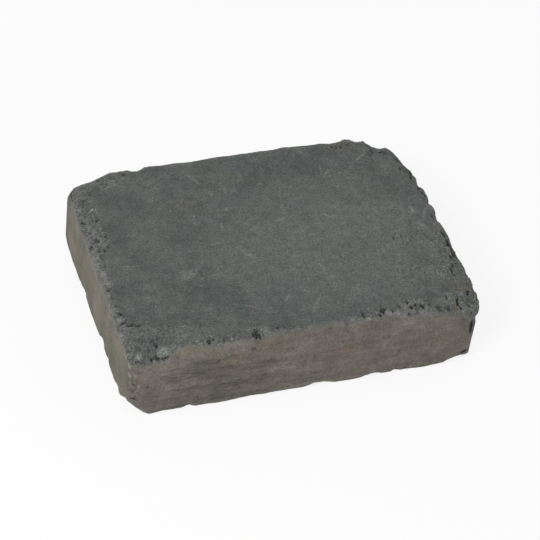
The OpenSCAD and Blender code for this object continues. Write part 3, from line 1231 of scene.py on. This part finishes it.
    def material(self) -> bpy.types.Material:
        """Build the concrete from Object coordinates and the skin's traits.

        Returns:
            The material.
        """
        material = bpy.data.materials.new("tumbled_concrete")
        material.use_nodes = True
        tree = material.node_tree
        tree.nodes.clear()
        spot = add_node(tree, "ShaderNodeTexCoord", output="Object")
        drag_place = add_node(
            tree, "ShaderNodeAttribute", settings={"attribute_name": DRAG_PLACE}, output="Vector",
        )
        trait = {
            name: add_node(tree, "ShaderNodeAttribute", settings={"attribute_name": name.value}, output="Fac")
            for name in Trait
        }
        clouds = self.clouds.share(tree, spot)
        grit = self.grit.share(tree, spot)
        pores = self.pores.share(tree, spot)
        torn_grains = self.torn_grains.share(tree, spot)
        scuff_lines = self.level_lines(tree, spot, self.scuff_bends, self.scuff_width)
        crack_shade_lines = self.level_lines(tree, spot, self.crack_bends, self.crack_width)
        # Ragged edges of the painted shade in hollows
        ragged = add_node(
            tree, "ShaderNodeMath",
            {0: self.hollow_rims.share(tree, spot), 1: self.hollow_ragged, 2: self.hollow_least},
            {"operation": "MULTIPLY_ADD"},
        )
        scuffs, crack_shade, rubbed, olive, worn, rusty, smeared, stony, hollow_shade_share = (
            add_node(tree, "ShaderNodeMath", {0: whole, 1: part}, {"operation": "MULTIPLY"})
            for whole, part in (
                (scuff_lines, self.scuff_breaks.share(tree, spot)),
                (crack_shade_lines, self.crack_breaks.share(tree, spot)),
                (trait[Trait.RUBBED], self.rubbed_share),
                (trait[Trait.END], self.end_patches.share(tree, spot)),
                (trait[Trait.ARRIS], self.arris_share),
                (trait[Trait.RUST], self.rust_breaks.share(tree, spot)),
                (trait[Trait.SMUDGE], self.smear_breaks.share(tree, spot)),
                (trait[Trait.GRAIN], self.grain_breaks.share(tree, spot)),
                (trait[Trait.HOLLOW_SHADE], ragged),
            )
        )
        # Painted shade in dents, creases and the flake's seam, darker still where they are deep
        hollow, deep = (
            add_node(
                tree, "ShaderNodeMapRange",
                {"Value": hollow_shade_share, "From Min": low, "From Max": high, "To Max": most},
            )
            for low, high, most in (
                (self.hollow_low, self.hollow_high, self.hollow_share),
                (self.deep_low, self.deep_high, 1.0),
            )
        )
        coarse = add_node(
            tree, "ShaderNodeMapRange", {"Value": trait[Trait.WEARING_FACE], "To Min": self.side_grit},
        )

        face = self.coated(tree, self.face_dark, (
            (clouds, self.face_pale),
            (self.cool_clouds.share(tree, spot), self.face_cool),
            (self.warm_clouds.share(tree, spot), self.face_warm),
            (rubbed, self.face_rubbed),
            (scuffs, self.scuff),
            (self.specks.share(tree, spot), self.scuff),
        ))
        side = self.coated(tree, self.side_dark, (
            (clouds, self.side_pale),
            (self.rosy_patches.share(tree, spot), self.side_rosy),
            (self.green_patches.share(tree, spot), self.side_green),
            (self.smudges.share(tree, spot), self.side_smudge),
            (olive, self.end_olive),
            (smeared, self.side_smudge),
            (self.dragged(tree, drag_place, trait[Trait.DRAG]), self.drag_dark),
            # Painted shade in small voids on the sides
            (self.void_shade_spots.share(tree, spot), self.void_shade),
        ))
        side = self.varied(tree, side, ((self.streaks.share(tree, drag_place, 1), self.streak_swing, 1.0),))
        # Torn rims, with painted shade in their pits and cracks
        torn = self.coated(tree, self.torn_dark, (
            (torn_grains, self.torn_pale),
            (self.flecks.share(tree, spot), self.fleck),
            (self.torn_pit_shade.share(tree, spot), self.hollow),
            (crack_shade, self.hollow),
        ))
        skin = self.coated(tree, side, (
            (trait[Trait.WEARING_FACE], face),
            (worn, self.arris_pale),
            (trait[Trait.BROKEN], torn),
            (trait[Trait.SCUFF], self.scuff),
            (stony, self.grain_pale),
            (rusty, self.rust),
        ))
        skin = self.varied(tree, skin, (
            (grit, self.grit_swing, coarse),
            (self.mottle.share(tree, spot), self.mottle_swing, 1.0),
        ))
        # Painted shade laid over the skin: in pores, in hollows, and darkest in deep hollows
        colour = self.coated(tree, skin, (
            (pores, self.pore_shade),
            (hollow, self.hollow),
            (deep, self.deep),
        ))
        pitted = add_node(tree, "ShaderNodeMath", {0: grit, 1: pores}, {"operation": "SUBTRACT"})
        relief = add_node(
            tree, "ShaderNodeMath",
            {0: torn_grains, 1: trait[Trait.BROKEN], 2: pitted},
            {"operation": "MULTIPLY_ADD"},
        )
        bump = add_node(
            tree, "ShaderNodeBump", {"Height": relief, "Strength": 1.0, "Distance": self.bump_mm * MM},
        )
        shader = add_node(
            tree, "ShaderNodeBsdfPrincipled",
            {
                "Base Color": colour,
                "Roughness": self.roughness,
                "Diffuse Roughness": self.diffuse_roughness,
                "IOR": self.ior,
                "Normal": bump,
            },
        )
        add_node(tree, "ShaderNodeOutputMaterial", {"Surface": shader})
        return material


@dataclass
class Lattice:
    """Closed mesh over the sharp slab: points, four corners of each cell, and the corners of every face."""

    points: np.ndarray
    quads: np.ndarray
    corners: np.ndarray
    corner_counts: np.ndarray


@dataclass
class PavingStone:
    """The stone's skin as one closed mesh over the whole slab, finer along the rims."""

    low: Vector
    high: Vector
    finish: TumbledConcrete = field(default_factory=TumbledConcrete)
    cell: float = 1.72
    fine_face_band: float = 15
    fine_side_band: float = 10
    fine_bed_band: float = 4
    fine_corner_band: float = 7
    seed: int = 20

    def fine(self, middles: np.ndarray, sizes: np.ndarray) -> np.ndarray:
        """Tell which cells lie along a rim and are split in four.

        Args:
            middles: middles of the cells in mm.
            sizes: the slab's sizes in mm.

        Returns:
            True for each cell that is split.
        """
        height = middles[:, 2]
        insets = sizes[:2] / 2 - np.abs(middles[:, :2])
        inset = insets.min(axis=1)
        corner = insets.max(axis=1) < self.fine_corner_band
        side = (height > sizes[2] - self.fine_side_band) | (height < self.fine_bed_band) | corner
        level = np.where(height <= 0, inset < self.fine_bed_band, side)
        return np.where(height >= sizes[2], inset < self.fine_face_band, level)

    def lattice(self, sizes: np.ndarray) -> Lattice:
        """Lay a square grid of cells on each of the slab's six sharp faces, with shared points along edges.

        Points are counted in half cells. A fine cell becomes four quads. A coarse cell becomes one face, with
        a corner more wherever a fine neighbour has a point halfway along its edge.

        Args:
            sizes: the slab's sizes in mm along X, Y and Z.

        Returns:
            The lattice, with its faces anticlockwise from outside.
        """
        steps = 2 * np.round(sizes / self.cell).astype(int)
        cells = []
        for axis in range(3):
            first, second = (axis + 1) % 3, (axis + 2) % 3
            a, b = np.meshgrid(np.arange(0, steps[first], 2), np.arange(0, steps[second], 2), indexing="ij")
            across, along = np.meshgrid(np.arange(3), np.arange(3), indexing="ij")
            for level in (0, steps[axis]):
                cell = np.empty((a.size, 3, 3, 3), dtype=int)
                cell[..., axis] = level
                cell[..., first] = a.reshape(-1, 1, 1) + across
                cell[..., second] = b.reshape(-1, 1, 1) + along
                cells.append(cell if level else cell.transpose(0, 2, 1, 3))
        numbers = np.concatenate(cells)
        keys = (numbers[..., 0] * (steps[1] + 1) + numbers[..., 1]) * (steps[2] + 1) + numbers[..., 2]
        fine = self.fine((numbers[:, 1, 1] / steps - ORIGIN_SHARES) * sizes, sizes)
        split = keys[fine]
        quarters = [
            split[:, [i, i + 1, i + 1, i], [j, j, j + 1, j + 1]] for i in (0, 1) for j in (0, 1)
        ]
        whole = keys[~fine]
        ring = whole[:, [0, 1, 2, 2, 2, 1, 0, 0], [0, 0, 0, 1, 2, 2, 2, 1]]
        kept = np.isin(ring, np.unique(split))
        kept[:, ::2] = True
        quad_keys = np.concatenate([*quarters, ring[:, ::2]])
        corner_keys = np.concatenate([np.concatenate(quarters).ravel(), ring[kept]])
        counts = np.concatenate([np.full(4 * len(split), 4), kept.sum(axis=1)])
        used = np.unique(corner_keys)
        flat_keys, flat_place = np.unique(keys, return_index=True)
        places = numbers.reshape(-1, 3)[flat_place[np.searchsorted(flat_keys, used)]]
        points = (places / steps - ORIGIN_SHARES) * sizes
        return Lattice(points, np.searchsorted(used, quad_keys), np.searchsorted(used, corner_keys), counts)

    @staticmethod
    def normals(points: np.ndarray, quads: np.ndarray) -> np.ndarray:
        """Point normals: the sum of the normals of the cells round each point, from the cells' diagonals.

        Args:
            points: places of the points.
            quads: four point numbers for each cell.

        Returns:
            One unit normal for each point.
        """
        corner = points[quads]
        across = np.cross(corner[:, 2] - corner[:, 0], corner[:, 3] - corner[:, 1])
        total = np.column_stack([
            np.bincount(quads.ravel(), np.repeat(across[:, axis], 4), len(points)) for axis in range(3)
        ])
        return total / np.linalg.norm(total, axis=1, keepdims=True)

    def build(self) -> bpy.types.Object:
        """Build the skin, give its points their traits and dress it.

        Returns:
            The stone's object.
        """
        sizes = np.array(self.high - self.low) / MM
        form = TumbledForm(*(float(size) for size in sizes))
        noise = SpaceNoise(self.seed)
        lattice = self.lattice(sizes)
        worn = form.worn(lattice.points, noise)
        height, traits, drag_place = ConcreteSkin(form, noise, worn).relief()
        places = worn.places + self.normals(worn.places, lattice.quads) * height[:, None]
        places[:, 2] = np.maximum(places[:, 2], 0)

        mesh = bpy.data.meshes.new("tumbled_stone")
        mesh.vertices.add(len(places))
        mesh.vertices.foreach_set("co", (places * MM).ravel())
        mesh.loops.add(len(lattice.corners))
        mesh.loops.foreach_set("vertex_index", lattice.corners)
        mesh.polygons.add(len(lattice.corner_counts))
        mesh.polygons.foreach_set("loop_start", np.cumsum(lattice.corner_counts) - lattice.corner_counts)
        mesh.polygons.foreach_set("use_smooth", np.ones(len(lattice.corner_counts), dtype=bool))
        for trait, values in traits.items():
            mesh.attributes.new(trait.value, "FLOAT", "POINT").data.foreach_set("value", values)
        dragged = mesh.attributes.new(DRAG_PLACE, "FLOAT_VECTOR", "POINT")
        dragged.data.foreach_set("vector", drag_place.ravel())
        mesh.update(calc_edges=True)
        mesh.validate()
        stone = bpy.data.objects.new("tumbled_stone", mesh)
        bpy.context.scene.collection.objects.link(stone)
        mesh.materials.append(self.finish.material())
        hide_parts(NODE)
        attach(stone, "root")
        triangles = int((lattice.corner_counts - 2).sum())
        LOG.info("tumbled stone: %d points, %d triangles", len(places), triangles)
        return stone


@dataclass
class Studio:
    """A plain pale floor, soft light all round with a key from the left, and the camera."""

    target: Vector
    floor_size: float = 8.0
    floor_gap: float = 0.0003
    floor_colour: str = "#f6f6f6"
    floor_lift: float = 0.85
    sky_light: float = 0.6
    key_power: float = 17.0
    key_size: float = 0.7
    key_place: tuple[float, float, float] = (-1.1, -0.75, 1.35)
    lens_mm: float = 146.67
    distance: float = 1.725
    azimuth: float = -23.13
    elevation: float = 44.63
    roll: float = 7.88
    shift: tuple[float, float] = (0.0042, -0.0043)

    def backdrop_share(self, tree: Tree) -> Socket:
        """Light that sees the backdrop as plain white: rays from the camera, mirrors and glass.

        Args:
            tree: the node tree that asks.

        Returns:
            The socket that is 1 for such rays.
        """
        seen = add_node(tree, "ShaderNodeLightPath", output="Is Camera Ray")
        for name in ("Is Glossy Ray", "Is Transmission Ray"):
            ray = add_node(tree, "ShaderNodeLightPath", output=name)
            seen = add_node(tree, "ShaderNodeMath", {0: seen, 1: ray}, {"operation": "MAXIMUM"})
        return seen

    def light(self) -> None:
        """Set the even light of the room and hang the soft key lamp."""
        world = bpy.data.worlds.new("studio_room")
        bpy.context.scene.world = world
        world.use_nodes = True
        tree = world.node_tree
        tree.nodes.clear()
        room, white = (
            add_node(tree, "ShaderNodeBackground", {"Color": (1, 1, 1, 1), "Strength": strength})
            for strength in (self.sky_light, 1.0)
        )
        shown = add_node(tree, "ShaderNodeMixShader", {0: self.backdrop_share(tree), 1: room, 2: white})
        add_node(tree, "ShaderNodeOutputWorld", {"Surface": shown})

        lamp = bpy.data.lights.new("key", "AREA")
        lamp.energy = self.key_power
        lamp.size = self.key_size
        key = bpy.data.objects.new("key", lamp)
        place = Vector(self.key_place)
        turn = (place - self.target).to_track_quat("Z", "Y").to_matrix().to_4x4()
        key.matrix_world = Matrix.Translation(place) @ turn
        bpy.context.scene.collection.objects.link(key)

    def floor(self) -> None:
        """Lay the floor: white as the camera sees it, with the stone's shadow kept."""
        half = self.floor_size / 2
        low = -self.floor_gap
        mesh = bpy.data.meshes.new("studio_floor")
        corners = [(-half, -half, low), (half, -half, low), (half, half, low), (-half, half, low)]
        mesh.from_pydata(corners, [], [(0, 1, 2, 3)])
        material = bpy.data.materials.new("studio_floor")
        material.use_nodes = True
        tree = material.node_tree
        tree.nodes.clear()
        paper = add_node(tree, "ShaderNodeBsdfDiffuse", {"Color": linear(self.floor_colour)})
        white = add_node(tree, "ShaderNodeEmission", {"Strength": 1.0})
        lift = add_node(
            tree, "ShaderNodeMath",
            {0: self.backdrop_share(tree), 1: self.floor_lift},
            {"operation": "MULTIPLY"},
        )
        shown = add_node(tree, "ShaderNodeMixShader", {0: lift, 1: paper, 2: white})
        add_node(tree, "ShaderNodeOutputMaterial", {"Surface": shown})
        mesh.materials.append(material)
        floor = bpy.data.objects.new("studio_floor", mesh)
        bpy.context.scene.collection.objects.link(floor)

    def camera(self) -> None:
        """Stand the camera on a sphere round the target, rolled about its own view."""
        azimuth, elevation, roll = np.radians((self.azimuth, self.elevation, self.roll))
        back = Vector((
            np.sin(azimuth) * np.cos(elevation), -np.cos(azimuth) * np.cos(elevation), np.sin(elevation),
        ))
        level = Vector((0, 0, 1)).cross(back).normalized()
        upright = back.cross(level)
        right = level * np.cos(roll) + upright * np.sin(roll)
        up = upright * np.cos(roll) - level * np.sin(roll)
        data = bpy.data.cameras.new("camera")
        data.lens = self.lens_mm
        data.shift_x, data.shift_y = self.shift
        camera = bpy.data.objects.new("camera", data)
        turn = Matrix((right, up, back)).transposed().to_4x4()
        camera.matrix_world = Matrix.Translation(self.target + back * self.distance) @ turn
        bpy.context.scene.collection.objects.link(camera)
        bpy.context.scene.camera = camera

    def build(self) -> None:
        """Set up the light, the floor and the camera."""
        self.light()
        self.floor()
        self.camera()
        bpy.context.scene.view_settings.view_transform = "Standard"
        LOG.info("studio: floor, light and camera")


def main() -> None:
    """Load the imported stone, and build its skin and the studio."""
    logging.basicConfig(level=logging.INFO, format="%(name)s: %(message)s")
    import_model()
    low, high = (Vector(corner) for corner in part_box(NODE))
    PavingStone(low, high).build()
    Studio((low + high) / 2).build()


if __name__ == "__main__":
    main()
